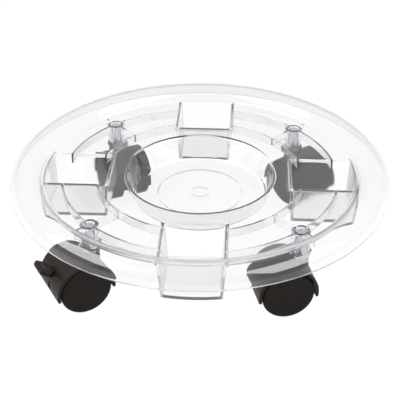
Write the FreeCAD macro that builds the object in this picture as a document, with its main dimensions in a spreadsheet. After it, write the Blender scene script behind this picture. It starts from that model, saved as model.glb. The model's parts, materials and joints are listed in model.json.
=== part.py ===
import FreeCAD, Part
import math
import os
import re

import Sketcher

# Plant pot caddy: a clear moulded saucer on four hooded twin-wheel casters.
# Millimetres, +Z up, origin on the floor under the centre of the tray, +Y away from the front.

doc = FreeCAD.newDocument("plant_pot_caddy")

SIZES = {
    # tray: flat land, rolled brim, central well
    "tray_diameter": 377,
    "tray_wall": 2.6,
    "brim_roll_radius": 17,
    "brim_drop": 3.5,
    "brim_foot_fillet": 3,
    "brim_lip_fillet": 1.1,
    "well_diameter": 148,
    "well_floor_diameter": 131,
    "well_depth": 24.4,
    "well_fillet": 4,
    # four pockets let into the land, each from the inner rib out to the brim's foot
    "pocket_width": 60.8,
    "pocket_inner_radius": 89.6,
    "pocket_foot_gap": 0.13,
    "pocket_depth": 40,
    "pocket_corner": 5.5,
    "pocket_wall": 2.4,
    "pocket_end_draft": 3,
    "pocket_side_draft": 3.7,
    # ribs under the land
    "rib_height": 9,
    "rib_width": 2,
    "inner_rib_radius": 103.7,
    "floor_ring_radius": 43,
    "gate_ring_radius": 9,
    "floor_ring_width": 1.2,
    "floor_ring_height": 0.6,
    # caster sockets
    "socket_circle_radius": 137.3,
    "socket_diameter": 17,
    "socket_length": 26.5,
    "socket_mouth_diameter": 21,
    "socket_mouth_height": 3,
    "socket_gusset_span": 28,
    "socket_gusset_foot": 5,
    # stem
    "stem_diameter": 11,
    "stem_length": 22,
    "stem_chamfer": 1.2,
    "socket_end_gap": 1.2,
    "flange_diameter": 17,
    "flange_thickness": 1.6,
    "spigot_diameter": 8,
    "spigot_length": 24,
    "spigot_chamfer": 0.6,
    "snap_groove_depth": 0.8,
    "snap_groove_width": 3,
    "snap_groove_height": 5,
    "grip_groove_depth": 1,
    "grip_ring_height": 4,
    "grip_ring_wall": 1.1,
    "grip_ring_gap_angle": 18,
    "grip_ring_level": 15,
    # fits
    "grip_fit": 0.05,
    "swivel_fit": 0.1,
    "axle_fit": 0.05,
    "wheel_fit": 0.1,
    "thrust_gap": 0.2,
    # wheels and axle
    "wheel_diameter": 50,
    "wheel_width": 17.2,
    "wheel_rim": 3,
    "wheel_web": 2.6,
    "wheel_hub_diameter": 12,
    "wheel_shoulder": 2.5,
    "wheel_chamfer": 0.8,
    "wheel_side_gap": 0.5,
    "wheel_cap": 2,
    "axle_diameter": 6,
    "axle_end_gap": 0.4,
    "axle_trail": 15.5,
    # hood
    "fin_thickness": 11,
    "fender_gap": 1.2,
    "fender_wall": 2.6,
    "fender_lap": 0.8,
    "fender_below_axle": 4,
    "fender_edge_fillet": 1.2,
    "neck_diameter": 18,
    "neck_rise": 0.4,
    "axle_boss_radius": 7,
    "bore_end_gap": 1,
    # brake on one caster
    "lever_angle": 146,
    "lever_pivot_inset": 8.3,
    "lever_head_radius": 4.2,
    "lever_neck_width": 7,
    "lever_neck_thickness": 6,
    "lever_side_gap": 0.35,
    "lever_travel": 18,
    "paddle_width": 20,
    "paddle_thickness": 6.4,
    "paddle_length": 12,
    "paddle_reach": 25,
    "paddle_fillet": 2.2,
    "lever_pin_diameter": 3,
    "window_width": 6.5,
    "window_height": 10.5,
    "window_rise": 8.8,
    "window_depth": 4.5,
    # casters' rest headings, degrees anticlockwise from +X seen from above
    "front_left_heading": 31,
    "front_right_heading": 15.3,
    "back_left_heading": 115,
    "back_right_heading": 133,
}

CORNERS = {"front_left": 225, "front_right": 315, "back_left": 135, "back_right": 45}
BRAKED = "front_left"
POCKETS = 4

sheet = doc.addObject("Spreadsheet::Sheet", "sizes")
for row, (alias, number) in enumerate(SIZES.items(), start=1):
    sheet.set(f"A{row}", alias)
    sheet.set(f"B{row}", str(number))
    sheet.setAlias(f"B{row}", alias)
doc.recompute()

# Heights and radii that follow from the driving sizes.
AXLE_HEIGHT = "(wheel_diameter / 2)"
FENDER_INNER = "(wheel_diameter / 2 + fender_gap)"
FENDER_OUTER = f"({FENDER_INNER} + fender_wall)"
LEVER_PIVOT = f"({FENDER_OUTER} - lever_pivot_inset)"
HOOD_TOP = f"({AXLE_HEIGHT} + {FENDER_OUTER} + neck_rise)"
FLANGE_BOTTOM = f"({HOOD_TOP} + thrust_gap)"
SOCKET_MOUTH = f"({FLANGE_BOTTOM} + flange_thickness)"
LAND = f"({SOCKET_MOUTH} + socket_length)"
UNDERSIDE = f"({LAND} - tray_wall)"
WHEEL_INNER = "(fin_thickness / 2 + wheel_side_gap)"
WHEEL_OUTER = f"({WHEEL_INNER} + wheel_width)"
HOOD_HALF = f"({WHEEL_OUTER} + fender_lap)"
ROLL_CENTRE = "(tray_diameter / 2 - brim_roll_radius)"
ROLL_LEVEL = f"({LAND} - brim_drop)"
ROLL_INNER = "(brim_roll_radius - tray_wall)"
BRIM_FOOT = f"({ROLL_CENTRE} - sqrt(brim_roll_radius ^ 2 - brim_drop ^ 2))"
UNDER_FOOT = f"({ROLL_CENTRE} - sqrt({ROLL_INNER} ^ 2 - (brim_drop - tray_wall) ^ 2))"
POCKET_OUTER = f"({UNDER_FOOT} - pocket_foot_gap)"
WELL_FLOOR = f"({LAND} - well_depth)"
SOCKET_BORE = f"(stem_diameter / 2 + grip_ring_wall - grip_groove_depth + 2 * grip_fit)"


def bound(text):
    """The expression with each size named as a cell of the sheet."""
    return re.sub(r"[a-z]+(?:_[a-z]+)+", lambda word: "sizes." + word.group(0), text)


def value(text):
    """The expression's present value as a plain number."""
    found = sheet.evalExpression(text)
    return float(getattr(found, "Value", found))


def bind(item, name, text):
    item.setExpression(name, bound(text))


def new_body(label):
    body = doc.addObject("PartDesign::Body", label)
    body.Label = label
    return body


def new_sketch(body, name, plane, lift="0"):
    """A sketch on one of the body's origin planes, lifted along its normal by an expression."""
    sketch = body.newObject("Sketcher::SketchObject", f"{body.Name}_{name}")
    origin_plane = next(f for f in body.Origin.OriginFeatures if f.Role == plane)
    sketch.AttachmentSupport = [(origin_plane, "")]
    sketch.MapMode = "FlatFace"
    bind(sketch, "AttachmentOffset.Base.z", lift)
    return sketch


def dimension(sketch, kind, name, text, *where):
    """One constraint whose value is an expression of the sheet."""
    sketch.addConstraint(Sketcher.Constraint(kind, *where, value(text)))
    sketch.renameConstraint(sketch.ConstraintCount - 1, name)
    bind(sketch, f"Constraints.{name}", text)


def arc_between(start, end, radius, side):
    """The minor arc from start to end; side is 1 with its centre on the left, -1 on the right."""
    chord = end - start
    reach = math.sqrt(max(radius ** 2 - (chord.Length / 2) ** 2, 0))
    left = FreeCAD.Vector(-chord.y, chord.x, 0).normalize()
    centre = (start + end) * 0.5 + left * reach * side
    first, last = (start, end) if side > 0 else (end, start)
    begin = math.atan2(first.y - centre.y, first.x - centre.x)
    finish = math.atan2(last.y - centre.y, last.x - centre.x)
    if finish < begin:
        finish += 2 * math.pi
    circle = Part.Circle(centre, FreeCAD.Vector(0, 0, 1), radius)
    return Part.ArcOfCircle(circle, begin, finish)


def outline(sketch, path):
    """A closed outline. A corner is (x, y); (x, y, radius, side) bends the edge that leaves it."""
    points = [FreeCAD.Vector(value(corner[0]), value(corner[1]), 0) for corner in path]
    heads = []
    tails = []
    for number, corner in enumerate(path):
        start = points[number]
        end = points[(number + 1) % len(path)]
        if len(corner) == 2:
            edge = sketch.addGeometry(Part.LineSegment(start, end))
            heads.append((edge, 1))
            tails.append((edge, 2))
            continue
        radius, side = corner[2:]
        edge = sketch.addGeometry(arc_between(start, end, value(radius), side))
        heads.append((edge, 1 if side > 0 else 2))
        tails.append((edge, 2 if side > 0 else 1))
    for number in range(len(path)):
        sketch.addConstraint(Sketcher.Constraint("Coincident", *tails[number - 1], *heads[number]))
    for number, corner in enumerate(path):
        dimension(sketch, "DistanceX", f"x{number}", corner[0], -1, 1, *heads[number])
        dimension(sketch, "DistanceY", f"y{number}", corner[1], -1, 1, *heads[number])
        if len(corner) == 4:
            dimension(sketch, "Radius", f"bend{number}", corner[2], heads[number][0])
    return sketch


def disc(sketch, across, up, radius):
    """A circle in the sketch."""
    centre = FreeCAD.Vector(value(across), value(up), 0)
    edge = sketch.addGeometry(Part.Circle(centre, FreeCAD.Vector(0, 0, 1), value(radius)))
    tag = f"c{edge}"
    dimension(sketch, "DistanceX", f"{tag}x", across, -1, 1, edge, 3)
    dimension(sketch, "DistanceY", f"{tag}y", up, -1, 1, edge, 3)
    dimension(sketch, "Radius", f"{tag}r", radius, edge)
    return sketch


def rectangle(sketch, left, right, bottom, top):
    return outline(sketch, [(left, bottom), (right, bottom), (right, top), (left, top)])


def feature(body, kind, name, sketch):
    made = body.newObject(f"PartDesign::{kind}", f"{body.Name}_{name}")
    made.Profile = sketch
    sketch.Visibility = False
    return made


def revolve(body, name, sketch, kind="Revolution", degrees="360"):
    """Turn the sketch about its own vertical axis."""
    made = feature(body, kind, name, sketch)
    made.ReferenceAxis = (sketch, ["V_Axis"])
    bind(made, "Angle", degrees)
    return made


def extrude(body, name, sketch, length, kind="Pad", symmetric=False, backwards=False, draft="0"):
    """A pad or a pocket of the sketch."""
    made = feature(body, kind, name, sketch)
    bind(made, "Length", length)
    made.SideType = "Symmetric" if symmetric else "One side"
    made.Reversed = backwards
    bind(made, "TaperAngle", draft)
    return made


def cut(body, name, sketch, length, **how):
    """A pocket that is known to have removed material."""
    doc.recompute()
    before = body.Shape.Volume
    made = extrude(body, name, sketch, length, kind="Pocket", **how)
    doc.recompute()
    if made.Shape.Volume > before - 0.1:
        raise ValueError(f"{made.Name} removed nothing")
    return made


def pattern(body, name, originals, count):
    """Repeat features about the vertical axis of the body."""
    made = body.newObject("PartDesign::PolarPattern", f"{body.Name}_{name}")
    made.Originals = originals
    made.Axis = (originals[0].Profile[0], ["N_Axis"])
    made.Angle = 360
    made.Occurrences = count
    body.Tip = made
    return made


def round_rings(body, name, rings, radius):
    """Fillet the circular edges that lie at the given (radius, height) pairs."""
    doc.recompute()
    base = body.Tip
    wanted = [(value(across), value(up)) for across, up in rings]
    names = []
    for number, edge in enumerate(base.Shape.Edges, start=1):
        if not isinstance(edge.Curve, Part.Circle):
            continue
        place = (edge.Curve.Radius, edge.Curve.Center.z)
        if any(math.dist(place, ring) < 0.01 for ring in wanted):
            names.append(f"Edge{number}")
    return round_edges(body, name, names, radius)


def round_edges(body, name, names, radius):
    base = body.Tip
    made = body.newObject("PartDesign::Fillet", f"{body.Name}_{name}")
    made.Base = (base, names)
    bind(made, "Radius", radius)
    return made


def turn_about_z(sketch, degrees):
    """Turn a horizontal sketch about the tray's axis."""
    sketch.AttachmentOffset = FreeCAD.Placement(
        sketch.AttachmentOffset.Base, FreeCAD.Rotation(FreeCAD.Vector(0, 0, 1), degrees))


# --- tray ---------------------------------------------------------------------------------


def tray_shell(body):
    """Land, rolled brim and well in one even wall."""
    floor_under = f"({WELL_FLOOR} - tray_wall)"
    sketch = outline(new_sketch(body, "shell_profile", "XZ_Plane"), [
        ("0", WELL_FLOOR),
        ("well_floor_diameter / 2", WELL_FLOOR),
        ("well_diameter / 2", LAND),
        (BRIM_FOOT, LAND, "brim_roll_radius", -1),
        ("tray_diameter / 2", ROLL_LEVEL),
        ("tray_diameter / 2 - tray_wall", ROLL_LEVEL, ROLL_INNER, 1),
        (UNDER_FOOT, UNDERSIDE),
        ("well_diameter / 2 + tray_wall", UNDERSIDE),
        ("well_floor_diameter / 2 + tray_wall", floor_under),
        ("0", floor_under),
    ])
    revolve(body, "shell", sketch)
    round_rings(body, "foot", [(BRIM_FOOT, LAND)], "brim_foot_fillet")
    round_rings(body, "well_edges", [
        ("well_diameter / 2", LAND),
        ("well_floor_diameter / 2", WELL_FLOOR),
        ("well_floor_diameter / 2 + tray_wall", floor_under),
    ], "well_fillet")
    round_rings(body, "lip", [
        ("tray_diameter / 2", ROLL_LEVEL),
        ("tray_diameter / 2 - tray_wall", ROLL_LEVEL),
    ], "brim_lip_fillet")


def ring_wall(body, name, radius, width, bottom, top):
    """A circular rib about the tray's axis."""
    sketch = new_sketch(body, f"{name}_profile", "XZ_Plane")
    rectangle(sketch, f"{radius} - {width} / 2", f"{radius} + {width} / 2", bottom, top)
    revolve(body, name, sketch)


def tray_ring_ribs(body):
    bottom = f"({UNDERSIDE} - rib_height)"
    top = f"({LAND} - tray_wall / 2)"
    ring_wall(body, "inner_rib", "inner_rib_radius", "rib_width", bottom, top)
    ring_wall(body, "socket_rib", "socket_circle_radius", "rib_width", bottom, top)


def tray_floor_rings(body):
    """Two fine raised rings on the floor of the well."""
    top = f"({WELL_FLOOR} + floor_ring_height)"
    bottom = f"({WELL_FLOOR} - floor_ring_height)"
    ring_wall(body, "floor_ring", "floor_ring_radius", "floor_ring_width", bottom, top)
    ring_wall(body, "gate_ring", "gate_ring_radius", "floor_ring_width", bottom, top)


def gusset(body, name, turn):
    """A fin that spreads one socket's load into the land."""
    sketch = new_sketch(body, f"{name}_profile", "XZ_Plane")
    sketch.AttachmentOffset = FreeCAD.Placement(
        FreeCAD.Vector(), FreeCAD.Rotation(FreeCAD.Vector(0, 1, 0), turn))
    bind(sketch, "AttachmentOffset.Base.x", "socket_circle_radius * cos(45 deg)")
    bind(sketch, "AttachmentOffset.Base.z", "-1 * socket_circle_radius * sin(45 deg)")
    foot = f"({SOCKET_MOUTH} + socket_gusset_foot)"
    top = f"({LAND} - tray_wall / 2)"
    outline(sketch, [
        ("-1 * socket_diameter / 2", foot),
        ("socket_diameter / 2", foot),
        ("socket_gusset_span / 2", top),
        ("-1 * socket_gusset_span / 2", top),
    ])
    return extrude(body, name, sketch, "rib_width", symmetric=True)


def tray_sockets(body):
    """A ribbed boss for each caster's stem, tied to the ring ribs by a radial rib."""
    spoke_sketch = new_sketch(body, "spoke_profile", "XY_Plane", f"{UNDERSIDE} - rib_height")
    turn_about_z(spoke_sketch, 45)
    rectangle(spoke_sketch, "inner_rib_radius", BRIM_FOOT, "-1 * rib_width / 2", "rib_width / 2")
    spoke = extrude(body, "spoke", spoke_sketch, "rib_height + tray_wall / 2")
    boss_sketch = new_sketch(body, "boss_profile", "XY_Plane", SOCKET_MOUTH)
    turn_about_z(boss_sketch, 45)
    disc(boss_sketch, "socket_circle_radius", "0", "socket_diameter / 2")
    boss = extrude(body, "boss", boss_sketch, "socket_length - tray_wall / 2")
    collar_sketch = new_sketch(body, "collar_profile", "XY_Plane", SOCKET_MOUTH)
    turn_about_z(collar_sketch, 45)
    disc(collar_sketch, "socket_circle_radius", "0", "socket_mouth_diameter / 2")
    collar = extrude(body, "collar", collar_sketch, "socket_mouth_height")
    fins = [gusset(body, "radial_gusset", 45), gusset(body, "cross_gusset", 135)]
    pattern(body, "sockets", [spoke, boss, collar, *fins], len(CORNERS))


def tray_bores(body):
    """The blind hole that takes each stem and its grip ring."""
    sketch = new_sketch(body, "bore_profile", "XY_Plane", SOCKET_MOUTH)
    turn_about_z(sketch, 45)
    disc(sketch, "socket_circle_radius", "0", SOCKET_BORE)
    bore = cut(body, "bore", sketch, "stem_length + socket_end_gap", backwards=True)
    pattern(body, "bores", [bore], len(CORNERS))


def pocket_plan(body, name, inset, drop):
    """The outline of one pocket at a drop below the land, drawn in by an inset.

    The inner end is straight, the outer end follows the brim, and the draft narrows it downwards.
    """
    inner = f"(pocket_inner_radius + {inset} + {drop} * tan(pocket_end_draft * 1 deg))"
    outer = f"({POCKET_OUTER} - {inset} - {drop} * tan(pocket_end_draft * 1 deg))"
    half = f"(pocket_width / 2 - {inset} - {drop} * tan(pocket_side_draft * 1 deg))"
    bend = f"(pocket_corner - {inset})"
    turn = f"sqrt(({outer} - {bend}) ^ 2 - ({half} - {bend}) ^ 2)"
    end_x = f"{turn} * {outer} / ({outer} - {bend})"
    end_y = f"({half} - {bend}) * {outer} / ({outer} - {bend})"
    sketch = new_sketch(body, name, "XY_Plane", f"{LAND} - {drop}")
    return outline(sketch, [
        (f"{inner} + {bend}", f"-1 * {half}"),
        (turn, f"-1 * {half}", bend, 1),
        (end_x, f"-1 * {end_y}", outer, 1),
        (end_x, end_y, bend, 1),
        (turn, half),
        (f"{inner} + {bend}", half, bend, 1),
        (inner, f"{half} - {bend}"),
        (inner, f"{bend} - {half}", bend, 1),
    ])


def loft(body, kind, name, plans):
    """Straight walls from one outline to the next."""
    made = feature(body, kind, name, plans[0])
    made.Sections = plans[1:]
    made.Ruled = True
    for plan in plans:
        plan.Visibility = False
    return made


def tray_pockets(body):
    """Four drafted cups with open tops, cut clear of the fillet at the brim's foot."""
    block = loft(body, "AdditiveLoft", "block", [
        pocket_plan(body, "block_top", "0", "(tray_wall / 2)"),
        pocket_plan(body, "block_floor", "0", "pocket_depth"),
    ])
    pattern(body, "blocks", [block], POCKETS)
    doc.recompute()
    before = body.Shape.Volume
    hollow = loft(body, "SubtractiveLoft", "hollow", [
        pocket_plan(body, "hollow_top", "pocket_wall", "(-1 * brim_foot_fillet)"),
        pocket_plan(body, "hollow_floor", "pocket_wall", "(pocket_depth - pocket_wall)"),
    ])
    pattern(body, "hollows", [hollow], POCKETS)
    doc.recompute()
    if body.Shape.Volume > before - 0.1:
        raise ValueError("the pockets removed nothing")


def make_tray():
    body = new_body("tray")
    tray_shell(body)
    tray_ring_ribs(body)
    tray_sockets(body)
    tray_pockets(body)
    tray_bores(body)
    tray_floor_rings(body)
    return body


# --- casters, drawn with the swivel axis at the origin and rolling along +X ---------------


def place(body, corner, along="0", across="0", up="0", half_turn=False):
    """Stand a caster's piece at its corner of the tray, turned to the caster's heading."""
    heading = f"({corner}_heading * 1 deg)"
    spot = f"({CORNERS[corner]} deg)"
    bind(body, "Placement.Base.x", f"socket_circle_radius * cos({spot})"
         f" + ({along}) * cos({heading}) - ({across}) * sin({heading})")
    bind(body, "Placement.Base.y", f"socket_circle_radius * sin({spot})"
         f" + ({along}) * sin({heading}) + ({across}) * cos({heading})")
    bind(body, "Placement.Base.z", up)
    bind(body, "Placement.Rotation.Angle", f"{heading} + 180 deg" if half_turn else heading)


def make_stem(corner):
    """Steel stem: spigot for the hood below the flange, shank for the socket above it."""
    body = new_body(f"{corner}_stem")
    spigot = "(spigot_diameter / 2)"
    groove = f"({spigot} - snap_groove_depth)"
    shank = "(stem_diameter / 2)"
    ring_seat = f"({shank} - grip_groove_depth)"
    bottom = f"({FLANGE_BOTTOM} - spigot_length)"
    snap = f"({bottom} + snap_groove_height)"
    ring = f"({SOCKET_MOUTH} + grip_ring_level)"
    ring_top = f"({ring} + grip_ring_height + 2 * grip_fit)"
    top = f"({SOCKET_MOUTH} + stem_length)"
    sketch = outline(new_sketch(body, "profile", "XZ_Plane"), [
        ("0", bottom),
        (f"{spigot} - spigot_chamfer", bottom),
        (spigot, f"{bottom} + spigot_chamfer"),
        (spigot, snap),
        (groove, snap),
        (groove, f"{snap} + snap_groove_width"),
        (spigot, f"{snap} + snap_groove_width"),
        (spigot, FLANGE_BOTTOM),
        ("flange_diameter / 2", FLANGE_BOTTOM),
        ("flange_diameter / 2", SOCKET_MOUTH),
        (shank, SOCKET_MOUTH),
        (shank, ring),
        (ring_seat, ring),
        (ring_seat, ring_top),
        (shank, ring_top),
        (shank, f"{top} - stem_chamfer"),
        (f"{shank} - stem_chamfer", top),
        ("0", top),
    ])
    revolve(body, "stem", sketch)
    place(body, corner)
    return body


def make_grip_ring(corner):
    """Split spring ring that holds the stem in its socket."""
    body = new_body(f"{corner}_grip_ring")
    inner = "(stem_diameter / 2 - grip_groove_depth + grip_fit)"
    bottom = f"({SOCKET_MOUTH} + grip_ring_level + grip_fit)"
    sketch = new_sketch(body, "profile", "XZ_Plane")
    rectangle(sketch, inner, f"{inner} + grip_ring_wall", bottom, f"{bottom} + grip_ring_height")
    revolve(body, "ring", sketch, degrees="360 - grip_ring_gap_angle")
    place(body, corner)
    return body


def hood_cover(body):
    """Fender over both wheels, the neck round the swivel, and the boss round the axle."""
    half_chord = f"sqrt({FENDER_OUTER} ^ 2 - fender_below_axle ^ 2)"
    tips = f"({AXLE_HEIGHT} - fender_below_axle)"
    crown = f"({AXLE_HEIGHT} + {FENDER_OUTER})"
    cover_sketch = outline(new_sketch(body, "cover_profile", "XZ_Plane"), [
        (f"-1 * axle_trail - {half_chord}", tips, FENDER_OUTER, -1),
        ("-1 * axle_trail", crown, FENDER_OUTER, -1),
        (f"{half_chord} - axle_trail", tips),
    ])
    extrude(body, "cover", cover_sketch, f"2 * {HOOD_HALF}", symmetric=True)
    round_fender(body)
    neck_sketch = disc(new_sketch(body, "neck_profile", "XY_Plane", AXLE_HEIGHT),
                       "0", "0", "neck_diameter / 2")
    extrude(body, "neck", neck_sketch, f"{HOOD_TOP} - {AXLE_HEIGHT}")
    boss_sketch = disc(new_sketch(body, "boss_profile", "XZ_Plane"),
                       "-1 * axle_trail", AXLE_HEIGHT, "axle_boss_radius")
    extrude(body, "boss", boss_sketch, "fin_thickness", symmetric=True)


def round_fender(body):
    """Soften the two long outer edges of the fender."""
    doc.recompute()
    names = []
    for number, edge in enumerate(body.Tip.Shape.Edges, start=1):
        if isinstance(edge.Curve, Part.Circle):
            names.append(f"Edge{number}")
    round_edges(body, "soft_edges", names, "fender_edge_fillet")


def hood_wells(body):
    """Room for the wheels on both sides of the fin."""
    for name, lift, backwards in (("far_well", "-1 * fin_thickness / 2", False),
                                  ("near_well", "fin_thickness / 2", True)):
        sketch = disc(new_sketch(body, f"{name}_profile", "XZ_Plane", lift),
                      "-1 * axle_trail", AXLE_HEIGHT, FENDER_INNER)
        cut(body, name, sketch, f"2 * {HOOD_HALF}", backwards=backwards)


def hood_bores(body):
    """The swivel bore with its snap bead, and the axle bore."""
    bore = "(spigot_diameter / 2 + swivel_fit)"
    bead = f"({bore} - snap_groove_depth + swivel_fit)"
    bottom = f"({FLANGE_BOTTOM} - spigot_length - bore_end_gap)"
    groove = f"({FLANGE_BOTTOM} - spigot_length + snap_groove_height)"
    bead_bottom = f"({groove} + snap_groove_width / 3)"
    bead_top = f"({groove} + 2 * snap_groove_width / 3)"
    over = f"({HOOD_TOP} + neck_rise)"
    sketch = outline(new_sketch(body, "swivel_bore_profile", "XZ_Plane"), [
        ("0", bottom),
        (bore, bottom),
        (bore, bead_bottom),
        (bead, bead_bottom),
        (bead, bead_top),
        (bore, bead_top),
        (bore, over),
        ("0", over),
    ])
    revolve(body, "swivel_bore", sketch, kind="Groove")
    axle_sketch = disc(new_sketch(body, "axle_bore_profile", "XZ_Plane"),
                       "-1 * axle_trail", AXLE_HEIGHT, "axle_diameter / 2 + axle_fit")
    cut(body, "axle_bore", axle_sketch, "2 * fin_thickness", symmetric=True)


def lever_sketch(body, name):
    """A sketch on the caster's middle plane with its origin at the lever's pivot."""
    sketch = new_sketch(body, name, "XZ_Plane")
    bind(sketch, "AttachmentOffset.Base.x",
         f"{LEVER_PIVOT} * cos(lever_angle * 1 deg) - axle_trail")
    bind(sketch, "AttachmentOffset.Base.y",
         f"{LEVER_PIVOT} * sin(lever_angle * 1 deg) + {AXLE_HEIGHT}")
    bind(sketch, "AttachmentOffset.Rotation.Angle", "lever_angle * 1 deg")
    return sketch


def hood_brake_openings(body):
    """Slot for the lever through its whole travel, holes for its pin, and a drain window."""
    half = "(lever_neck_thickness / 2 + lever_side_gap)"
    reach = "(lever_pivot_inset + lever_head_radius)"
    travel = "(lever_travel * 1 deg)"
    width = "lever_neck_width + 2 * lever_side_gap"
    swept = outline(lever_sketch(body, "lever_slot_profile"), [
        ("0", f"-1 * {half}"),
        (reach, f"-1 * {half}"),
        (f"{reach} * cos({travel}) - {half} * sin({travel})",
         f"{reach} * sin({travel}) + {half} * cos({travel})"),
        (f"-1 * {half} * sin({travel})", f"{half} * cos({travel})"),
    ])
    cut(body, "lever_slot", swept, width, symmetric=True)
    head = disc(lever_sketch(body, "lever_head_profile"), "0", "0",
                "lever_head_radius + lever_side_gap")
    cut(body, "lever_head_room", head, width, symmetric=True)
    pin = disc(lever_sketch(body, "lever_pin_profile"), "0", "0",
               "lever_pin_diameter / 2 + axle_fit")
    cut(body, "lever_pin_holes", pin, "2 * fin_thickness", symmetric=True)
    window = new_sketch(body, "window_profile", "YZ_Plane", f"-1 * (axle_trail + {FENDER_OUTER})")
    top = f"({AXLE_HEIGHT} + window_rise)"
    outline(window, [
        ("-1 * window_width / 2", f"{top} - window_height"),
        ("window_width / 2", f"{top} - window_height"),
        ("0", top),
    ])
    cut(body, "window", window, "window_depth", backwards=True)


def make_hood(corner):
    body = new_body(f"{corner}_hood")
    hood_cover(body)
    hood_wells(body)
    hood_bores(body)
    if corner == BRAKED:
        hood_brake_openings(body)
    place(body, corner)
    return body


def make_axle(corner):
    """Steel pin through the fin, ending inside both wheels' hubs."""
    body = new_body(f"{corner}_axle")
    sketch = disc(new_sketch(body, "profile", "XZ_Plane"), "0", "0", "axle_diameter / 2")
    extrude(body, "pin", sketch, f"2 * ({WHEEL_OUTER} - wheel_cap - axle_end_gap)", symmetric=True)
    place(body, corner, "-1 * axle_trail", "0", AXLE_HEIGHT)
    return body


def make_wheel(corner, side):
    """One nylon wheel: a closed outer face, a tread rim and a blind hub."""
    body = new_body(f"{corner}_{side}_wheel")
    tread = "(wheel_diameter / 2)"
    inside = f"({tread} - wheel_rim)"
    hub = "(wheel_hub_diameter / 2)"
    bore = "(axle_diameter / 2 + wheel_fit)"
    web = "(wheel_width - wheel_web)"
    bore_end = "(wheel_width - wheel_cap)"
    sketch = outline(new_sketch(body, "profile", "XY_Plane"), [
        ("0", bore_end),
        (bore, bore_end),
        (bore, "0"),
        (hub, "0"),
        (hub, web),
        (inside, web),
        (inside, "0"),
        (f"{tread} - wheel_chamfer", "0"),
        (tread, "wheel_chamfer"),
        (tread, "wheel_width - wheel_shoulder", "wheel_shoulder", 1),
        (f"{tread} - wheel_shoulder", "wheel_width"),
        ("0", "wheel_width"),
    ])
    revolve(body, "wheel", sketch)
    sign = "1" if side == "left" else "-1"
    place(body, corner, "-1 * axle_trail", f"{sign} * {WHEEL_INNER}", AXLE_HEIGHT,
          half_turn=side == "right")
    return body


def make_lever(corner):
    """Brake lever: round head on its pin, a neck through the fender, and a cross paddle."""
    body = new_body(f"{corner}_brake_lever")
    paddle_foot = "(paddle_reach - paddle_length)"
    neck = rectangle(lever_sketch(body, "neck_profile"), "0", f"{paddle_foot} + paddle_fillet",
                     "-1 * lever_neck_thickness / 2", "lever_neck_thickness / 2")
    paddle = rectangle(lever_sketch(body, "paddle_profile"), paddle_foot, "paddle_reach",
                       "-1 * paddle_thickness / 2", "paddle_thickness / 2")
    extrude(body, "paddle", paddle, "paddle_width", symmetric=True)
    doc.recompute()
    edges = [f"Edge{number}" for number in range(1, len(body.Tip.Shape.Edges) + 1)]
    round_edges(body, "soft_paddle", edges, "paddle_fillet")
    extrude(body, "neck", neck, "lever_neck_width", symmetric=True)
    head = disc(lever_sketch(body, "head_profile"), "0", "0", "lever_head_radius")
    extrude(body, "head", head, "lever_neck_width", symmetric=True)
    eye = disc(lever_sketch(body, "eye_profile"), "0", "0", "lever_pin_diameter / 2 + wheel_fit")
    cut(body, "eye", eye, "2 * lever_neck_width", symmetric=True)
    place(body, corner)
    return body


def make_lever_pin(corner):
    body = new_body(f"{corner}_brake_pin")
    sketch = disc(lever_sketch(body, "profile"), "0", "0", "lever_pin_diameter / 2")
    extrude(body, "pin", sketch, "fin_thickness", symmetric=True)
    place(body, corner)
    return body


def make_caster(corner):
    pieces = [make_stem(corner), make_grip_ring(corner), make_hood(corner), make_axle(corner)]
    pieces += [make_wheel(corner, side) for side in ("left", "right")]
    if corner == BRAKED:
        pieces += [make_lever(corner), make_lever_pin(corner)]
    return pieces


def check(pieces):
    """Stop before writing if any object failed or any piece isn't one sound solid."""
    failed = [item.Name for item in doc.Objects if {"Invalid", "Error"} & set(item.State)]
    for piece in pieces:
        shape = piece.Shape
        if shape.isNull() or not shape.isValid() or len(shape.Solids) != 1:
            failed.append(piece.Label)
    if failed:
        raise ValueError(f"failed: {failed}")


def main():
    pieces = [make_tray()]
    for corner in CORNERS:
        pieces += make_caster(corner)
    doc.recompute()
    check(pieces)
    os.makedirs("parts", exist_ok=True)
    for piece in pieces:
        piece.Shape.exportStep(f"parts/{piece.Label}.step")
        print(f"{piece.Label}: {piece.Shape.Volume / 1000:.2f} cm3")


main()
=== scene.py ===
# %% [markdown]
# # Plant pot caddy
# A clear moulded saucer stands on four black twin-wheel casters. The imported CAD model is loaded
# first and stays the fixed frame: every piece below takes its place from it and rides on it.

# %% Load the frame
import json
import math

import bpy
from mathutils import Matrix, Vector


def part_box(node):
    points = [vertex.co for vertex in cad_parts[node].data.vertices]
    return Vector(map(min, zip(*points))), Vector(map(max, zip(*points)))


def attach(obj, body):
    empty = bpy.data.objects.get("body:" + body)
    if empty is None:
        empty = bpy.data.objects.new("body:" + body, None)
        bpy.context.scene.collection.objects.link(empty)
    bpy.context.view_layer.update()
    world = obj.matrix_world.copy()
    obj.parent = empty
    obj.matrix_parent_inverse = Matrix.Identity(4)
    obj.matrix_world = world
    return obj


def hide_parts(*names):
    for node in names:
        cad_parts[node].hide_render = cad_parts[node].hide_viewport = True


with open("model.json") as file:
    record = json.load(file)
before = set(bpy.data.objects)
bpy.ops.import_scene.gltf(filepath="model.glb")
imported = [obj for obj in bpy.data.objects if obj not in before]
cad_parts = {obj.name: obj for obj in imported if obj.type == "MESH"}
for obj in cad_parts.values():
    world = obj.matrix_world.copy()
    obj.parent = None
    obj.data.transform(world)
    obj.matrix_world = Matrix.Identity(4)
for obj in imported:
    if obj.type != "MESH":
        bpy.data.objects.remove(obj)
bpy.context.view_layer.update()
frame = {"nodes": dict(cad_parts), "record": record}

nodes = frame["nodes"]

# %% [markdown]
# Sizes are written in millimetres, as on a drawing, and turned into metres where they are used.
# Outer sizes are read from the frame, so that the visible tray can't drift away from the CAD tray.

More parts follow.
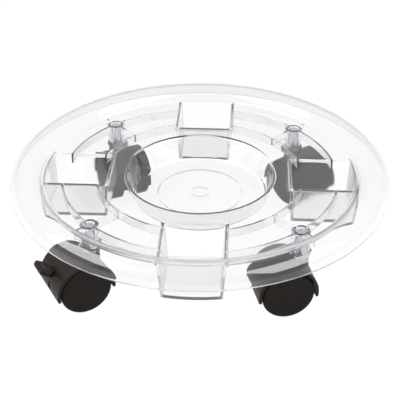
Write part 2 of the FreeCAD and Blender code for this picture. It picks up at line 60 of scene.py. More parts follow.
# %% Sizes
MM = 0.001
tray_low, tray_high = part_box("tray")
brim_radius = round((tray_high.x - tray_low.x) / MM) / 2
pocket_bottom = tray_low.z / MM
mount = next(m for m in frame["record"]["mounts"] if m["name"] == "pot_seat")
land = mount["pos_m"][2] / MM
print("brim radius", brim_radius, "land height", round(land, 2), "pocket floor", round(pocket_bottom, 2))

# %% [markdown]
# The camera looks down on the caddy from a little to the right of its front. A short lens up close
# would swell the near side of the brim, so a long lens is used from further back: it keeps the far
# side nearly as wide as the near side, as it looks from across a room.

# %% Camera
VIEW_ELEVATION = math.radians(32.87)
VIEW_TURN = math.radians(2.84)
VIEW_DISTANCE = 941 * MM
LENS_MM = 82.8
AIM_BELOW_LAND = 34.5
FAR_LIMIT = 30
view_aim = Vector((0, 0, land - AIM_BELOW_LAND)) * MM


def from_front(distance, turn, elevation):
    """A place seen from the front, turned to the right and raised by two angles."""
    flat = distance * math.cos(elevation)
    return Vector((flat * math.sin(turn), -flat * math.cos(turn), distance * math.sin(elevation)))


bpy.ops.object.camera_add(location=view_aim + from_front(VIEW_DISTANCE, VIEW_TURN, VIEW_ELEVATION))
camera = bpy.context.object
camera.data.lens = LENS_MM
camera.data.clip_end = FAR_LIMIT
camera.rotation_euler = (view_aim - camera.location).to_track_quat("-Z", "Y").to_euler()
bpy.context.scene.camera = camera
print("camera at", [round(v, 3) for v in camera.location])

# %% [markdown]
# ## Modelling helpers
# An operator acts on everything that is selected, so each helper starts from an empty selection.
# A finished piece has its place in its mesh: its object stays at the origin, unturned.

# %% Helpers for selecting and finishing
SAME_PLACE = 0.004
SHARP_ANGLE = 32
NORMAL_WEIGHT = 80


def only(*pieces):
    """Select these pieces and nothing else, with the first one active."""
    bpy.ops.object.select_all(action="DESELECT")
    for piece in pieces:
        piece.select_set(True)
    bpy.context.view_layer.objects.active = pieces[0]


def settle(piece):
    """Move the object's place into its mesh."""
    only(piece)
    bpy.ops.object.transform_apply(location=True, rotation=True, scale=True)
    return piece


def apply_modifier(piece, kind, **settings):
    """Add a modifier, set it up and apply it."""
    only(piece)
    bpy.ops.object.modifier_add(type=kind)
    modifier = piece.modifiers[-1]
    for name, value in settings.items():
        setattr(modifier, name, value)
    bpy.ops.object.modifier_apply(modifier=modifier.name)
    return piece


def combine(piece, others, operation, material_mode="INDEX"):
    """Join other closed shapes to the piece, or cut them out of it, and drop them."""
    for other in others:
        apply_modifier(piece, "BOOLEAN", operation=operation, object=other, solver="EXACT",
                       material_mode=material_mode)
        bpy.data.objects.remove(other)
    return piece


def tidy_surface(piece):
    """Merge doubles, turn faces outwards, and smooth all but the sharp edges."""
    only(piece)
    bpy.ops.object.mode_set(mode="EDIT")
    bpy.ops.mesh.select_all(action="SELECT")
    bpy.ops.mesh.remove_doubles(threshold=SAME_PLACE * MM)
    bpy.ops.mesh.normals_make_consistent(inside=False)
    bpy.ops.object.mode_set(mode="OBJECT")
    bpy.ops.object.shade_smooth_by_angle(angle=math.radians(SHARP_ANGLE))
    apply_modifier(piece, "WEIGHTED_NORMAL", keep_sharp=True, weight=NORMAL_WEIGHT)
    return piece


# %% [markdown]
# Most of this object is round, so one helper turns a profile into a solid. The spin operator could
# turn it too, but leaves a seam and two poles to close. So the helper starts from a filled circle
# and extrudes its face from ring to ring: the first and last rings stay as flat faces, and the
# result is closed from the start.

# %% Lathe and arcs
def arc(across, up, radius, start, finish, steps):
    """Points along an arc round a centre, in millimetres, with angles in degrees from outwards."""
    angles = [math.radians(start + (finish - start) * i / steps) for i in range(steps + 1)]
    return [(across + radius * math.cos(a), up + radius * math.sin(a)) for a in angles]


def lathe(name, profile, segments):
    """A closed turned solid about the vertical axis, from (radius, height) pairs in millimetres."""
    radius, height = profile[0]
    bpy.ops.object.select_all(action="DESELECT")
    bpy.ops.mesh.primitive_circle_add(vertices=segments, radius=radius * MM, fill_type="NGON",
                                      location=(0, 0, height * MM))
    piece = bpy.context.object
    piece.name = name
    settle(piece)
    bpy.ops.object.mode_set(mode="EDIT")
    bpy.ops.mesh.select_all(action="SELECT")
    for next_radius, next_height in profile[1:]:
        rise = (0, 0, (next_height - height) * MM)
        bpy.ops.mesh.extrude_region_move(TRANSFORM_OT_translate={"value": rise})
        grow = next_radius / radius
        bpy.ops.transform.resize(value=(grow, grow, 1), center_override=(0, 0, 0))
        radius, height = next_radius, next_height
    bpy.ops.object.mode_set(mode="OBJECT")
    return piece


# %% [markdown]
# Blocks and round bars are started from primitives at their size and place, and are then cut into
# something or rounded. What repeats round the tray is modelled once and copied with its own mesh.

# %% Blocks, bars and copies
def block(name, low, high):
    """A box between two corners in millimetres."""
    middle = [(a + b) / 2 * MM for a, b in zip(low, high)]
    size = [(b - a) * MM for a, b in zip(low, high)]
    bpy.ops.object.select_all(action="DESELECT")
    bpy.ops.mesh.primitive_cube_add(size=1, location=middle, scale=size)
    piece = bpy.context.object
    piece.name = name
    return settle(piece)


def rod(name, radius, length, middle, along, segments=64):
    """A round bar of a length about its middle, along the X, Y or Z axis, in millimetres."""
    turn = {"X": (0, math.pi / 2, 0), "Y": (math.pi / 2, 0, 0), "Z": (0, 0, 0)}[along]
    bpy.ops.object.select_all(action="DESELECT")
    bpy.ops.mesh.primitive_cylinder_add(vertices=segments, radius=radius * MM, depth=length * MM,
                                        location=[v * MM for v in middle], rotation=turn)
    piece = bpy.context.object
    piece.name = name
    return settle(piece)


def copy_turned(piece, degrees):
    """A copy with its own mesh, turned about the tray's axis."""
    only(piece)
    bpy.ops.object.duplicate()
    copy = bpy.context.object
    copy.rotation_euler = (0, 0, math.radians(degrees))
    return settle(copy)


# %% [markdown]
# Edges are picked by where they lie, because their numbers change with every cut before them.

# %% Picking edges
NEAR = 0.1


def pick_edges(piece, wanted):
    """Enter edit mode with only the edges selected whose two ends satisfy the test."""
    only(piece)
    bpy.ops.object.mode_set(mode="EDIT")
    bpy.ops.mesh.select_mode(type="EDGE")
    bpy.ops.mesh.select_all(action="DESELECT")
    bpy.ops.object.mode_set(mode="OBJECT")
    points = piece.data.vertices
    chosen = 0
    for edge in piece.data.edges:
        first, second = (points[i].co / MM for i in edge.vertices)
        edge.select = wanted(first, second)
        chosen += edge.select
    bpy.ops.object.mode_set(mode="EDIT")
    return chosen


# %% [markdown]
# ## Tray
# The saucer is one injection moulding in an even wall. It could be a surface with a solidify
# modifier, but its ribs hang from one side only, so it is drawn with its wall. Land, brim, well and
# the ring ribs under them are all round, so they are one turned profile, from the middle of the
# underside out to the lip and back over the top. The brim is a half-round roll: its inner foot
# meets the land in a small radius, and its outer edge ends in a thin lip.

# %% Tray sizes
WALL = 2.6
ROLL_RADIUS = 17
ROLL_DROP = 3.5
FOOT_RADIUS = 3
WELL_TOP = 74
WELL_FLOOR_RADIUS = 65.5
WELL_DEPTH = 24.4
WELL_TOP_BEND = 3.8
WELL_FLOOR_BEND = 4
RIB_HEIGHT = 9
RIB_WIDTH = 2
RIB_TAPER = 0.8
INNER_RIB = 103.7
SOCKET_RIB = 137.3
FLOOR_RING = 43
FLOOR_RING_HEIGHT = 0.35
GATE_RING = 9
GATE_RING_HEIGHT = 0.25
TRAY_SEGMENTS = 192
MIDDLE = 1
roll_centre = brim_radius - ROLL_RADIUS
roll_level = land - ROLL_DROP
roll_inner = ROLL_RADIUS - WALL
under = land - WALL
well_floor = land - WELL_DEPTH
print("roll centre", roll_centre, "roll level", round(roll_level, 2))

# %% [markdown]
# The ring ribs stiffen the land, and narrow downwards so that they leave their mould. The fine
# rings on the floor of the well are where such a moulding is fed and ejected.

# %% Ribs and rings in the profile
def hanging_rib(radius):
    """A ring rib under the land with a rounded bottom, from its inner to its outer side."""
    half = RIB_WIDTH / 2
    tip_radius = half * RIB_TAPER
    tip = arc(radius, under - RIB_HEIGHT + tip_radius, tip_radius, 180, 360, 6)
    return [(radius - half, under)] + tip + [(radius + half, under)]


def raised_ring(radius, height):
    """A fine raised ring on the floor of the well, from its outer to its inner side."""
    ridge = arc(radius, well_floor, height, 30, 150, 4)
    return [(radius + 2 * height, well_floor)] + ridge + [(radius - 2 * height, well_floor)]


# %% [markdown]
# Each bend is an arc between two straight stretches, so its ends have to be tangent to both. For
# the well, the bend's centre is one radius from the level and one radius from the sloping wall.
# For the brim's foot, it is one radius above the land and two radii from the roll's centre. The
# underside bends about the same centres, so the wall stays even round every corner.

# %% Tray profile
well_slope = math.degrees(math.atan2(WELL_DEPTH, WELL_TOP - WELL_FLOOR_RADIUS))
half_bend = math.tan(math.radians(well_slope / 2))
floor_turn = WELL_FLOOR_RADIUS - WELL_FLOOR_BEND * half_bend
top_turn = WELL_TOP + WELL_TOP_BEND * half_bend
foot_reach = math.sqrt((ROLL_RADIUS + FOOT_RADIUS) ** 2 - (ROLL_DROP + FOOT_RADIUS) ** 2)
foot_angle = math.degrees(math.atan2(ROLL_DROP + FOOT_RADIUS, foot_reach))
foot_start = roll_centre - foot_reach

below = [(MIDDLE, well_floor - WALL)]
below += arc(floor_turn, well_floor + WELL_FLOOR_BEND, WELL_FLOOR_BEND + WALL, -90, well_slope - 90, 10)
below += arc(top_turn, land - WELL_TOP_BEND, WELL_TOP_BEND - WALL, 90 + well_slope, 90, 6)
below += hanging_rib(INNER_RIB) + hanging_rib(SOCKET_RIB)
below += arc(foot_start, land + FOOT_RADIUS, FOOT_RADIUS + WALL, -90, -foot_angle, 8)
below += arc(roll_centre, roll_level, roll_inner, 180 - foot_angle, 0, 28)[1:]
lip = arc(brim_radius - WALL / 2, roll_level, WALL / 2, -180, 0, 8)
above = arc(roll_centre, roll_level, ROLL_RADIUS, 0, 180 - foot_angle, 44)
above += arc(foot_start, land + FOOT_RADIUS, FOOT_RADIUS, -foot_angle, -90, 8)[1:]
above += arc(top_turn, land - WELL_TOP_BEND, WELL_TOP_BEND, 90, 90 + well_slope, 6)
above += arc(floor_turn, well_floor + WELL_FLOOR_BEND, WELL_FLOOR_BEND, well_slope - 90, -90, 10)
above += raised_ring(FLOOR_RING, FLOOR_RING_HEIGHT) + raised_ring(GATE_RING, GATE_RING_HEIGHT)
above += [(MIDDLE, well_floor)]
tray = lathe("clear_tray", below + lip[1:-1] + above, TRAY_SEGMENTS)
print("tray shell:", len(tray.data.polygons), "faces")

# %% [markdown]
# Under the land each caster's stem goes into a socket: a thick boss where the outer ring rib
# passes, with a collar at its mouth and two crossed gussets, on a radial rib from the inner ring to
# the brim's foot. One corner is built on the X axis, copied to the four diagonals and united with
# the shell in one step, because each boolean on the large shell costs seconds.

# %% Sockets and spokes
SOCKET_RADIUS = 8
SOCKET_BLEND = 1.6
SOCKET_MOUTH_RADIUS = 10.5
SOCKET_MOUTH_HEIGHT = 3
SOCKET_MOUTH_BEND = 0.8
SOCKET_MOUTH_SLOPE = 1.2
SOCKET_SEGMENTS = 48
SPOKE_RISE = 0.6
GUSSET_SPAN = 28
GUSSET_FOOT = 5
SOCKET_LENGTH = 26.5
socket_mouth = land - SOCKET_LENGTH
united_level = land - WALL / 2


def shift_mesh(piece, across, up):
    """Move a piece's mesh outwards and upwards."""
    only(piece)
    piece.location = (across * MM, 0, up * MM)
    return settle(piece)


def gusset(name, along):
    """A fin as deep as the socket that widens towards the land, in the X or the Y direction."""
    half_span, half_rib, half_foot = GUSSET_SPAN / 2, RIB_WIDTH / 2, SOCKET_RADIUS
    reach = (half_span, half_rib) if along == "X" else (half_rib, half_span)
    low = (-reach[0], -reach[1], socket_mouth + GUSSET_FOOT)
    fin = block(name, low, (reach[0], reach[1], united_level))
    axis = 0 if along == "X" else 1
    pick_edges(fin, lambda a, b: max(a.z, b.z) < low[2] + NEAR)
    narrow = [1, 1, 1]
    narrow[axis] = half_foot / half_span
    bpy.ops.transform.resize(value=narrow, center_override=(0, 0, low[2] * MM))
    bpy.ops.object.mode_set(mode="OBJECT")
    return fin


collar_top = socket_mouth + SOCKET_MOUTH_HEIGHT
boss_profile = [(MIDDLE, socket_mouth)]
boss_profile += arc(SOCKET_MOUTH_RADIUS - SOCKET_MOUTH_BEND, socket_mouth + SOCKET_MOUTH_BEND,
                    SOCKET_MOUTH_BEND, -90, 0, 4)
boss_profile += [(SOCKET_MOUTH_RADIUS, collar_top), (SOCKET_RADIUS, collar_top + SOCKET_MOUTH_SLOPE)]
boss_profile += arc(SOCKET_RADIUS + SOCKET_BLEND, under - SOCKET_BLEND, SOCKET_BLEND, 180, 90, 5)
boss_profile += [(SOCKET_RADIUS + SOCKET_BLEND, united_level), (MIDDLE, united_level)]
corner = lathe("socket_corner", boss_profile, SOCKET_SEGMENTS)
combine(corner, [gusset("radial_gusset", "X"), gusset("cross_gusset", "Y")], "UNION")
shift_mesh(corner, SOCKET_RIB, 0)
spoke = block("spoke", (INNER_RIB, -RIB_WIDTH / 2, under - RIB_HEIGHT + SPOKE_RISE),
              (foot_start, RIB_WIDTH / 2, united_level))
combine(corner, [spoke], "UNION")
print("one socket corner:", len(corner.data.polygons), "faces")

# %% [markdown]
# The corner's copies are joined into one object first, so that the shell is cut into only once.

# %% Four corners
def around(piece, angles, name):
    """Copies of a piece at these angles about the tray's axis, as one object."""
    copies = [copy_turned(piece, angle) for angle in angles]
    bpy.data.objects.remove(piece)
    only(*copies)
    bpy.ops.object.join()
    joined = bpy.context.object
    joined.name = name
    return joined


DIAGONALS = (45, 135, 225, 315)
QUARTERS = (0, 90, 180, 270)
combine(tray, [around(corner, DIAGONALS, "corners")], "UNION")
print("tray with sockets:", len(tray.data.polygons), "faces")

# %% [markdown]
# Four cups are let into the land, one on each side, from the inner rib out to the brim's foot. A
# cup is a box that narrows downwards, so that it leaves its mould, and its outer end follows the
# brim. The box is therefore cut by a cone about the tray's axis, all its edges are bevelled, and a
# plane takes the top off, where the cup stays open. Its mouth is rolled over in a quarter round,
# except at the brim, which already bends there. A bevel on the finished tray would catch the ribs
# too, so the roll is extruded on the cup itself. One helper makes the outer block and the smaller
# hollow that is cut from it, which keeps the wall even, and the ribs end at the cups by themselves.

# %% Cup helper
POCKET_WIDTH = 60.8
POCKET_INNER = 89.6
POCKET_WALL = 2.4
POCKET_CORNER = 5.5
POCKET_MOUTH = 2
SIDE_DRAFT = math.radians(3.7)
END_DRAFT = math.radians(3)
FOOT_GAP = 0.13
MOUTH_STEPS = 4
CORNER_STEPS = 5
CORNER_ANGLE = math.radians(40)
BLOCK_SINK = 0.7
CONE_OVERRUN = 1
pocket_outer = roll_centre - math.sqrt(roll_inner ** 2 - (ROLL_DROP - WALL) ** 2) - FOOT_GAP
OVER_HEIGHT = 8


def slice_off_above(piece, level):
    """Cut away all that is above a level and close the cut."""
    only(piece)
    bpy.ops.object.mode_set(mode="EDIT")
    bpy.ops.mesh.select_all(action="SELECT")
    bpy.ops.mesh.bisect(plane_co=(0, 0, level * MM), plane_no=(0, 0, 1), use_fill=True,
                        clear_outer=True)
    bpy.ops.object.mode_set(mode="OBJECT")


def flare_top(piece, rise):
    """Widen a cup's top in a quarter round, except at the brim, and raise it straight from there."""
    level = max(point.co.z for point in piece.data.vertices) / MM
    rim = [point.co / MM for point in piece.data.vertices if point.co.z / MM > level - SAME_PLACE]
    near, far = min(point.x for point in rim), max(point.x for point in rim)
    half = max(point.y for point in rim)
    only(piece)
    for face in piece.data.polygons:
        face.select = face.normal.z > 0.99 and face.center.z / MM > level - SAME_PLACE
    bpy.ops.object.mode_set(mode="EDIT")
    bpy.ops.mesh.select_mode(type="FACE")
    wider, higher = 0, 0
    for turn in (math.pi / 2 * i / MOUTH_STEPS for i in range(1, MOUTH_STEPS + 1)):
        next_wider, next_higher = POCKET_MOUTH * (1 - math.cos(turn)), POCKET_MOUTH * math.sin(turn)
        lift = (0, 0, (next_higher - higher) * MM)
        bpy.ops.mesh.extrude_region_move(TRANSFORM_OT_translate={"value": lift})
        grow = ((far - near + next_wider) / (far - near + wider), (half + next_wider) / (half + wider), 1)
        bpy.ops.transform.resize(value=grow, center_override=(far * MM, 0, 0))
        wider, higher = next_wider, next_higher
    bpy.ops.mesh.extrude_region_move(TRANSFORM_OT_translate={"value": (0, 0, rise * MM)})
    bpy.ops.object.mode_set(mode="OBJECT")


def cup(name, inset, bottom, top, bend, rise):
    """A drafted, rounded cup on the X axis, flared up to its top level and raised above it."""
    high = land + OVER_HEIGHT
    near = POCKET_INNER + inset - OVER_HEIGHT * math.tan(END_DRAFT)
    half = POCKET_WIDTH / 2 - inset + OVER_HEIGHT * math.tan(SIDE_DRAFT)
    far = brim_radius
    box = block(name, (near, -half, bottom), (far, half, high))
    pick_edges(box, lambda a, b: max(a.z, b.z) < bottom + NEAR)
    drawn_side = (high - bottom) * math.tan(SIDE_DRAFT)
    drawn_end = (high - bottom) * math.tan(END_DRAFT)
    narrow = (1 - drawn_end / (far - near), 1 - drawn_side / half, 1)
    bpy.ops.transform.resize(value=narrow, center_override=(far * MM, 0, bottom * MM))
    bpy.ops.object.mode_set(mode="OBJECT")
    reach = pocket_outer - inset
    cone_low, cone_high = bottom - CONE_OVERRUN, high + CONE_OVERRUN
    cone = lathe("end_cone", [(MIDDLE, cone_low), (reach - (land - bottom) * math.tan(END_DRAFT), cone_low),
                              (reach + OVER_HEIGHT * math.tan(END_DRAFT), cone_high),
                              (MIDDLE, cone_high)], TRAY_SEGMENTS)
    combine(box, [cone], "INTERSECT")
    apply_modifier(box, "BEVEL", width=bend * MM, segments=CORNER_STEPS, limit_method="ANGLE",
                   angle_limit=CORNER_ANGLE)
    slice_off_above(box, top - POCKET_MOUTH)
    flare_top(box, rise)
    return box


# %% [markdown]
# The cups are satin, to keep scratches from showing, and the rest of the tray is polished. So the
# tray and the cups get two materials before they are united, and each boolean carries them over.

# %% Pockets
def paint_all(piece, *materials):
    """Replace a piece's materials."""
    piece.data.materials.clear()
    for material in materials:
        piece.data.materials.append(material)
    return piece


clear_plastic = bpy.data.materials.new("clear_plastic")
satin_plastic = bpy.data.materials.new("satin_pocket_plastic")
paint_all(tray, clear_plastic)
for cup_name, inset, floor_level, top_level, bend, rise, step in (
        ("pocket_blocks", 0, pocket_bottom, under, POCKET_CORNER, WALL - BLOCK_SINK, "UNION"),
        ("pocket_hollows", POCKET_WALL, pocket_bottom + POCKET_WALL, land, POCKET_CORNER - POCKET_WALL,
         FOOT_RADIUS, "DIFFERENCE")):
    shape = paint_all(cup(cup_name, inset, floor_level, top_level, bend, rise), satin_plastic)
    combine(tray, [around(shape, QUARTERS, cup_name)], step, material_mode="TRANSFER")
print("tray with pockets:", len(tray.data.polygons), "faces,", len(tray.data.materials), "finishes")

# %% [markdown]
# Each socket is bored to take the stem and its spring ring. The bore is as wide as the ring and a
# little deeper than the stem is long, and its end shows as a bright cap through the land.

# %% Bores
STEM_END_GAP = 1.2
RING_FIT = 0.05
BORE_OVERRUN = 2
ring_low, ring_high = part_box("front_right_grip_ring")
stem_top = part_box("front_right_stem")[1].z / MM
bore_radius = (ring_high.x - ring_low.x) / 2 / MM + RING_FIT
bore_top = stem_top + STEM_END_GAP
bore_bottom = socket_mouth - BORE_OVERRUN
bore_middle = (SOCKET_RIB, 0, (bore_top + bore_bottom) / 2)
bore = rod("bore", bore_radius, bore_top - bore_bottom, bore_middle, "Z")
combine(tray, [around(bore, DIAGONALS, "bores")], "DIFFERENCE")
tidy_surface(tray)
satin_faces = sum(face.material_index == 1 for face in tray.data.polygons)
print("finished tray:", len(tray.data.polygons), "faces,", satin_faces, "of them satin")

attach(tray, "deck")
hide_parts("tray")

# %% [markdown]
# ## Brake pedal
# The pedal of the front left caster turns on a pin inside the hood. It is drawn lying flat with the
# pin at the origin: a round head, a neck that widens outside the hood, and a thick soft pad across
# its end. Modelling it in place would put every size at a slant, so a matrix made from the joint's
# own axis stands it up at its place afterwards.

# %% Pedal
PEDAL_RISE = math.radians(34)
PEDAL_REACH = 25
PAD_LENGTH = 12
PAD_WIDTH = 20
PAD_THICKNESS = 6.4
PAD_BEND = 2.4
NECK_WIDTH = 7
NECK_THICKNESS = 6
NECK_BEND = 0.5
WEB_START = 9.8
WEB_WIDTH = PAD_WIDTH - 4
WEB_THICKNESS = NECK_THICKNESS - 0.8
WEB_NARROWING = NECK_WIDTH / WEB_WIDTH + 0.1
WEB_BEND = 1.4
WEB_LAP = 3
NECK_LAP = 4
HEAD_RADIUS = 4.2
EYE_RADIUS = 1.65


def soften(piece, bend, segments=5):
    """Round every edge of a block."""
    return apply_modifier(piece, "BEVEL", width=bend * MM, segments=segments, limit_method="ANGLE")


pad_foot = PEDAL_REACH - PAD_LENGTH
pad = block("pad", (pad_foot, -PAD_WIDTH / 2, -PAD_THICKNESS / 2),
            (PEDAL_REACH, PAD_WIDTH / 2, PAD_THICKNESS / 2))
soften(pad, PAD_BEND)
web = block("web", (WEB_START, -WEB_WIDTH / 2, -WEB_THICKNESS / 2),
            (pad_foot + WEB_LAP, WEB_WIDTH / 2, WEB_THICKNESS / 2))
pick_edges(web, lambda a, b: max(a.x, b.x) < WEB_START + NEAR)
bpy.ops.transform.resize(value=(1, WEB_NARROWING, 1), center_override=(0, 0, 0))
bpy.ops.object.mode_set(mode="OBJECT")
soften(web, WEB_BEND)
pedal = rod("brake_pedal", HEAD_RADIUS, NECK_WIDTH, (0, 0, 0), "Y")
neck = block("neck", (0, -NECK_WIDTH / 2, -NECK_THICKNESS / 2),
             (pad_foot + NECK_LAP, NECK_WIDTH / 2, NECK_THICKNESS / 2))
soften(neck, NECK_BEND, 3)
combine(pedal, [neck, web, pad], "UNION")
combine(pedal, [rod("eye", EYE_RADIUS, 2 * NECK_WIDTH, (0, 0, 0), "Y", 32)], "DIFFERENCE")

# %% [markdown]
# The joint's record gives the pin's place and direction. The pedal points away from the caster's
# stem and upwards, at right angles to the pin, and those three directions are the matrix's columns.

# %% Pedal in place
press = next(j for j in frame["record"]["behaviour"]["joints"] if j["name"] == "front_left_brake_press")
across = Vector(press["axis"]).normalized()
up = Vector((0, 0, 1))
outwards = across.cross(up)
along = outwards * math.cos(PEDAL_RISE) + up * math.sin(PEDAL_RISE)
only(pedal)
pedal.matrix_world = Matrix.Translation(press["pos_m"]) @ Matrix(
    (along, across, along.cross(across))).transposed().to_4x4()
settle(pedal)
tidy_surface(pedal)
print("brake pedal:", len(pedal.data.polygons), "faces, pin at", [round(v, 4) for v in press["pos_m"]])

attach(pedal, "front_left_brake")
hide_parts("front_left_brake_lever")

# %% [markdown]
# ## Finishes
# The tray is clear polystyrene: almost colourless, glossy, and very slightly wavy, because a
# moulding shrinks unevenly as it cools. A pure glass shader throws a black shadow in a path tracer
# that doesn't follow every caustic, so shadow rays pass through it as through clear film. A small
# share of the plastic scatters light, which gives dark things behind it a faint milky veil.

# %% Material helpers
COLOUR_A, COLOUR_B, COLOUR_RESULT = 6, 7, 2


def start_material(name):
    """A material with an empty node tree, given back with its nodes and links."""
    material = bpy.data.materials.get(name) or bpy.data.materials.new(name)
    material.use_nodes = True
    material.node_tree.nodes.clear()
    return material, material.node_tree.nodes, material.node_tree.links


def add_node(nodes, kind, **values):
    """A shader node with its properties and unlinked inputs set."""
    node = nodes.new(kind)
    for name, value in values.items():
        if name in node.inputs:
            node.inputs[name].default_value = value
        else:
            setattr(node, name, value)
    return node


def noise_height(nodes, links, scale, detail, rough):
    """Noise on the object's own coordinates, with a scale in spots per metre."""
    place = add_node(nodes, "ShaderNodeTexCoord")
    noise = add_node(nodes, "ShaderNodeTexNoise", Scale=scale, Detail=detail, Roughness=rough)
    links.new(place.outputs["Object"], noise.inputs["Vector"])
    return noise.outputs["Fac"]


def bump(nodes, links, height, distance, under=None):
    """Relief of a depth in metres, on top of another one if there is one."""
    node = add_node(nodes, "ShaderNodeBump", Strength=1, Distance=distance)
    links.new(height, node.inputs["Height"])
    if under is not None:
        links.new(under, node.inputs["Normal"])
    return node.outputs["Normal"]


def spread(nodes, links, value, low, high, source=(0, 1)):
    """Turn a value in one range, from 0 to 1 unless another is given, into another range."""
    node = add_node(nodes, "ShaderNodeMapRange")
    node.inputs["From Min"].default_value, node.inputs["From Max"].default_value = source
    node.inputs["To Min"].default_value = low
    node.inputs["To Max"].default_value = high
    links.new(value, node.inputs["Value"])
    return node.outputs["Result"]


def blend(nodes, links, first, second, share):
    """A colour between two, by a share from 0 to 1."""
    node = add_node(nodes, "ShaderNodeMix", data_type="RGBA")
    node.inputs[COLOUR_A].default_value = (*first, 1)
    node.inputs[COLOUR_B].default_value = (*second, 1)
    links.new(share, node.inputs["Factor"])
    return node.outputs[COLOUR_RESULT]


# %% [markdown]
# Two noises shape the surface: a slow one for the waviness, which also varies the gloss a little,
# and a fine one for the grain. The satin cups have a deeper grain and a duller gloss.

# %% Clear plastic, polished and satin
def clear_finish(name, tint, clearness, dullness, wave, grain):
    """Clear plastic with a slow waviness, a fine grain and shadows that light passes through."""
    material, nodes, links = start_material(name)
    slow = noise_height(nodes, links, 45, 2, 0.4)
    fine = noise_height(nodes, links, 1400, 3, 0.6)
    normal = bump(nodes, links, slow, wave * MM)
    normal = bump(nodes, links, fine, grain * MM, under=normal)
    shader = add_node(nodes, "ShaderNodeBsdfPrincipled", IOR=1.5)
    shader.inputs["Base Color"].default_value = (*tint, 1)
    shader.inputs["Transmission Weight"].default_value = clearness
    links.new(spread(nodes, links, slow, *dullness), shader.inputs["Roughness"])
    links.new(normal, shader.inputs["Normal"])
    film = add_node(nodes, "ShaderNodeBsdfTransparent", Color=(0.985, 0.986, 0.988, 1))
    path = add_node(nodes, "ShaderNodeLightPath")
    mix = add_node(nodes, "ShaderNodeMixShader")
    links.new(path.outputs["Is Shadow Ray"], mix.inputs["Fac"])
    links.new(shader.outputs["BSDF"], mix.inputs[1])
    links.new(film.outputs["BSDF"], mix.inputs[2])
    output = add_node(nodes, "ShaderNodeOutputMaterial")
    links.new(mix.outputs["Shader"], output.inputs["Surface"])
    return material


clear_finish("clear_plastic", (0.905, 0.908, 0.916), 0.99, dullness=(0, 0.03), wave=0.02, grain=0.0003)
clear_finish("satin_pocket_plastic", (0.925, 0.928, 0.934), 0.985, dullness=(0.08, 0.13), wave=0.04,
             grain=0.002)
print("tray finishes:", [material.name for material in tray.data.materials])

# %% [markdown]
# Hoods, wheels and the brake pedal are black nylon with a fine spark-eroded grain, coarser on the
# hoods than on the wheels. A single black would look like a hole, so a slow noise makes some places
# slightly paler and warmer, as rubbed nylon is.

# %% Black nylon
def nylon_finish(name, dark, pale, dullness, pits_per_metre, grain):
    """Black nylon that is cloudy in colour and pitted by the mould's grain."""
    material, nodes, links = start_material(name)
    cloud = noise_height(nodes, links, 60, 4, 0.6)
    pits = noise_height(nodes, links, pits_per_metre, 3, 0.65)
    shader = add_node(nodes, "ShaderNodeBsdfPrincipled", IOR=1.53)
    shader.inputs["Specular IOR Level"].default_value = 0.1
    paleness = spread(nodes, links, cloud, -0.2, 0.9)
    links.new(blend(nodes, links, dark, pale, paleness), shader.inputs["Base Color"])
    links.new(spread(nodes, links, pits, *dullness), shader.inputs["Roughness"])
    links.new(bump(nodes, links, pits, grain * MM), shader.inputs["Normal"])
    output = add_node(nodes, "ShaderNodeOutputMaterial")
    links.new(shader.outputs["BSDF"], output.inputs["Surface"])
    return material


hood_nylon = nylon_finish("hood_nylon", (0.012, 0.0085, 0.007), (0.018, 0.0125, 0.0105),
                          dullness=(0.34, 0.5), pits_per_metre=1100, grain=0.05)
wheel_nylon = nylon_finish("wheel_nylon", (0.0062, 0.0045, 0.0036), (0.009, 0.0064, 0.0052),
                           dullness=(0.36, 0.5), pits_per_metre=1500, grain=0.02)
print("nylon finishes:", hood_nylon.name, wheel_nylon.name)

# %% [markdown]
# Stems, axles and the spring rings are zinc-plated steel. Turning leaves fine rings round them,
# and the plating is a little cloudy. A wave texture makes the rings: its bands lie 0.314 apart at a
# scale of 1, so their pitch sets the scale.

# %% Zinc-plated steel
WAVE_PITCH = 0.314


def steel_finish(name, tone, dullness, ring_pitch):
    """Plated steel with turned rings along the object's Z axis, a pitch in millimetres apart."""
    material, nodes, links = start_material(name)
    place = add_node(nodes, "ShaderNodeTexCoord")
    rings = add_node(nodes, "ShaderNodeTexWave", wave_type="BANDS", bands_direction="Z",
                     Scale=WAVE_PITCH / (ring_pitch * MM), Distortion=1.5, Detail=2)
    links.new(place.outputs["Object"], rings.inputs["Vector"])
    cloud = noise_height(nodes, links, 300, 4, 0.6)
    shader = add_node(nodes, "ShaderNodeBsdfPrincipled", Metallic=1)
    dulled = [value * 0.82 for value in tone]
    links.new(blend(nodes, links, dulled, tone, cloud), shader.inputs["Base Color"])
    links.new(spread(nodes, links, cloud, *dullness), shader.inputs["Roughness"])
    links.new(bump(nodes, links, rings.outputs["Fac"], 0.01 * MM), shader.inputs["Normal"])
    output = add_node(nodes, "ShaderNodeOutputMaterial")
    links.new(shader.outputs["BSDF"], output.inputs["Surface"])
    return material


stem_steel = steel_finish("stem_steel", (0.74, 0.75, 0.80), dullness=(0.14, 0.3), ring_pitch=0.5)
print("steel finish:", stem_steel.name)

# %% [markdown]
# The caster pieces keep their CAD shape, which already has every edge and slot that can be seen.
# Their nodes are named by corner and piece, so one pass over the ends of the names finishes them.

# %% Finishes on the CAD nodes
def finish_nodes(suffixes, material):
    """Give every node whose name ends in one of these words a material."""
    count = 0
    for name, node in nodes.items():
        if name.endswith(suffixes):
            paint_all(node, material)
            count += 1
    return count


print("steel:", finish_nodes(("_stem", "_axle", "_grip_ring", "_brake_pin"), stem_steel))
print("hoods:", finish_nodes(("_hood", "_brake_lever"), hood_nylon))
paint_all(pedal, hood_nylon)
print("wheels:", finish_nodes(("_wheel",), wheel_nylon))

# %% [markdown]
# ## Studio
# The caddy stands on a white light table. Clear plastic shows mainly what it reflects and bends, and
# over a lit surface its edges draw themselves as thin grey lines. So the floor mostly glows, and
# only a little of its white comes from lamps, which leaves the faint shadow under the casters.

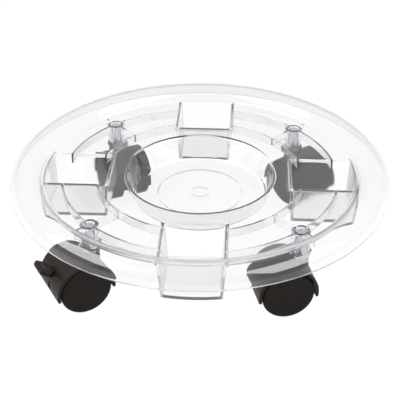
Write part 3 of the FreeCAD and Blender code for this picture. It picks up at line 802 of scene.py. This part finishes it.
# %% Floor
FLOOR_SIZE = 60
TABLE_WHITE = 0.06
TABLE_GLOW = 0.965
bpy.ops.object.select_all(action="DESELECT")
bpy.ops.mesh.primitive_plane_add(size=FLOOR_SIZE, location=(0, 0, 0))
floor = bpy.context.object
floor.name = "studio_floor"
floor_paint, floor_nodes, floor_links = start_material("floor_paint")
table_white = add_node(floor_nodes, "ShaderNodeBsdfDiffuse", Color=(*[TABLE_WHITE] * 3, 1))
table_glow = add_node(floor_nodes, "ShaderNodeEmission", Strength=TABLE_GLOW)
table_top = add_node(floor_nodes, "ShaderNodeAddShader")
floor_output = add_node(floor_nodes, "ShaderNodeOutputMaterial")
floor_links.new(table_white.outputs["BSDF"], table_top.inputs[0])
floor_links.new(table_glow.outputs["Emission"], table_top.inputs[1])
floor_links.new(table_top.outputs["Shader"], floor_output.inputs["Surface"])
paint_all(floor, floor_paint)
print("light table:", FLOOR_SIZE, "m across")

# %% [markdown]
# Two soft boxes stand left and right, a little in front. They aren't there for brightness: each one
# is seen in the half-round brim as a white band, and the bands give the roll its shape.

# %% Lights
def soft_box(name, distance, turn, elevation, width, height, radiance):
    """A rectangular lamp that faces the caddy, from its brightness per area."""
    spot = view_aim + from_front(distance, math.radians(turn), math.radians(elevation))
    bpy.ops.object.light_add(type="AREA", location=spot)
    lamp = bpy.context.object
    lamp.name = name
    lamp.data.shape = "RECTANGLE"
    lamp.data.size, lamp.data.size_y = width, height
    lamp.data.energy = radiance * math.pi * width * height
    lamp.rotation_euler = (view_aim - spot).to_track_quat("-Z", "Y").to_euler()
    return lamp


soft_box("left_soft_box", 1.5, -68, 42, 1.2, 1.0, 5.6)
soft_box("right_soft_box", 1.5, 64, 42, 1.2, 1.0, 5.6)
print("soft boxes at 1.5 m, 68 degrees left and 64 degrees right")

# %% [markdown]
# The rest of the room is grey in front and paler behind, without an edge that could be mirrored as
# a hard line. The plastic is many layers deep in places, so light may pass more surfaces than usual.

# %% Surroundings
SKY_FRONT, SKY_BACK = 0.42, 0.74
SKY_SPAN = (-0.9, 0.6)
world = bpy.data.worlds.new("studio")
bpy.context.scene.world = world
world.use_nodes = True
sky_nodes, sky_links = world.node_tree.nodes, world.node_tree.links
sky_nodes.clear()
sky_place = add_node(sky_nodes, "ShaderNodeTexCoord")
sky_split = add_node(sky_nodes, "ShaderNodeSeparateXYZ")
sky_links.new(sky_place.outputs["Generated"], sky_split.inputs["Vector"])
sky_strength = spread(sky_nodes, sky_links, sky_split.outputs["Y"], SKY_FRONT, SKY_BACK, SKY_SPAN)
sky_light = add_node(sky_nodes, "ShaderNodeBackground", Color=(1, 1, 1, 1))
sky_output = add_node(sky_nodes, "ShaderNodeOutputWorld")
sky_links.new(sky_strength, sky_light.inputs["Strength"])
sky_links.new(sky_light.outputs["Background"], sky_output.inputs["Surface"])

bpy.context.scene.view_settings.view_transform = "Standard"
bpy.context.scene.cycles.max_bounces = 30
bpy.context.scene.cycles.transmission_bounces = 28
bpy.context.scene.cycles.transparent_max_bounces = 16
bpy.context.scene.cycles.caustics_reflective = False
print("room from", SKY_FRONT, "in front to", SKY_BACK, "behind")
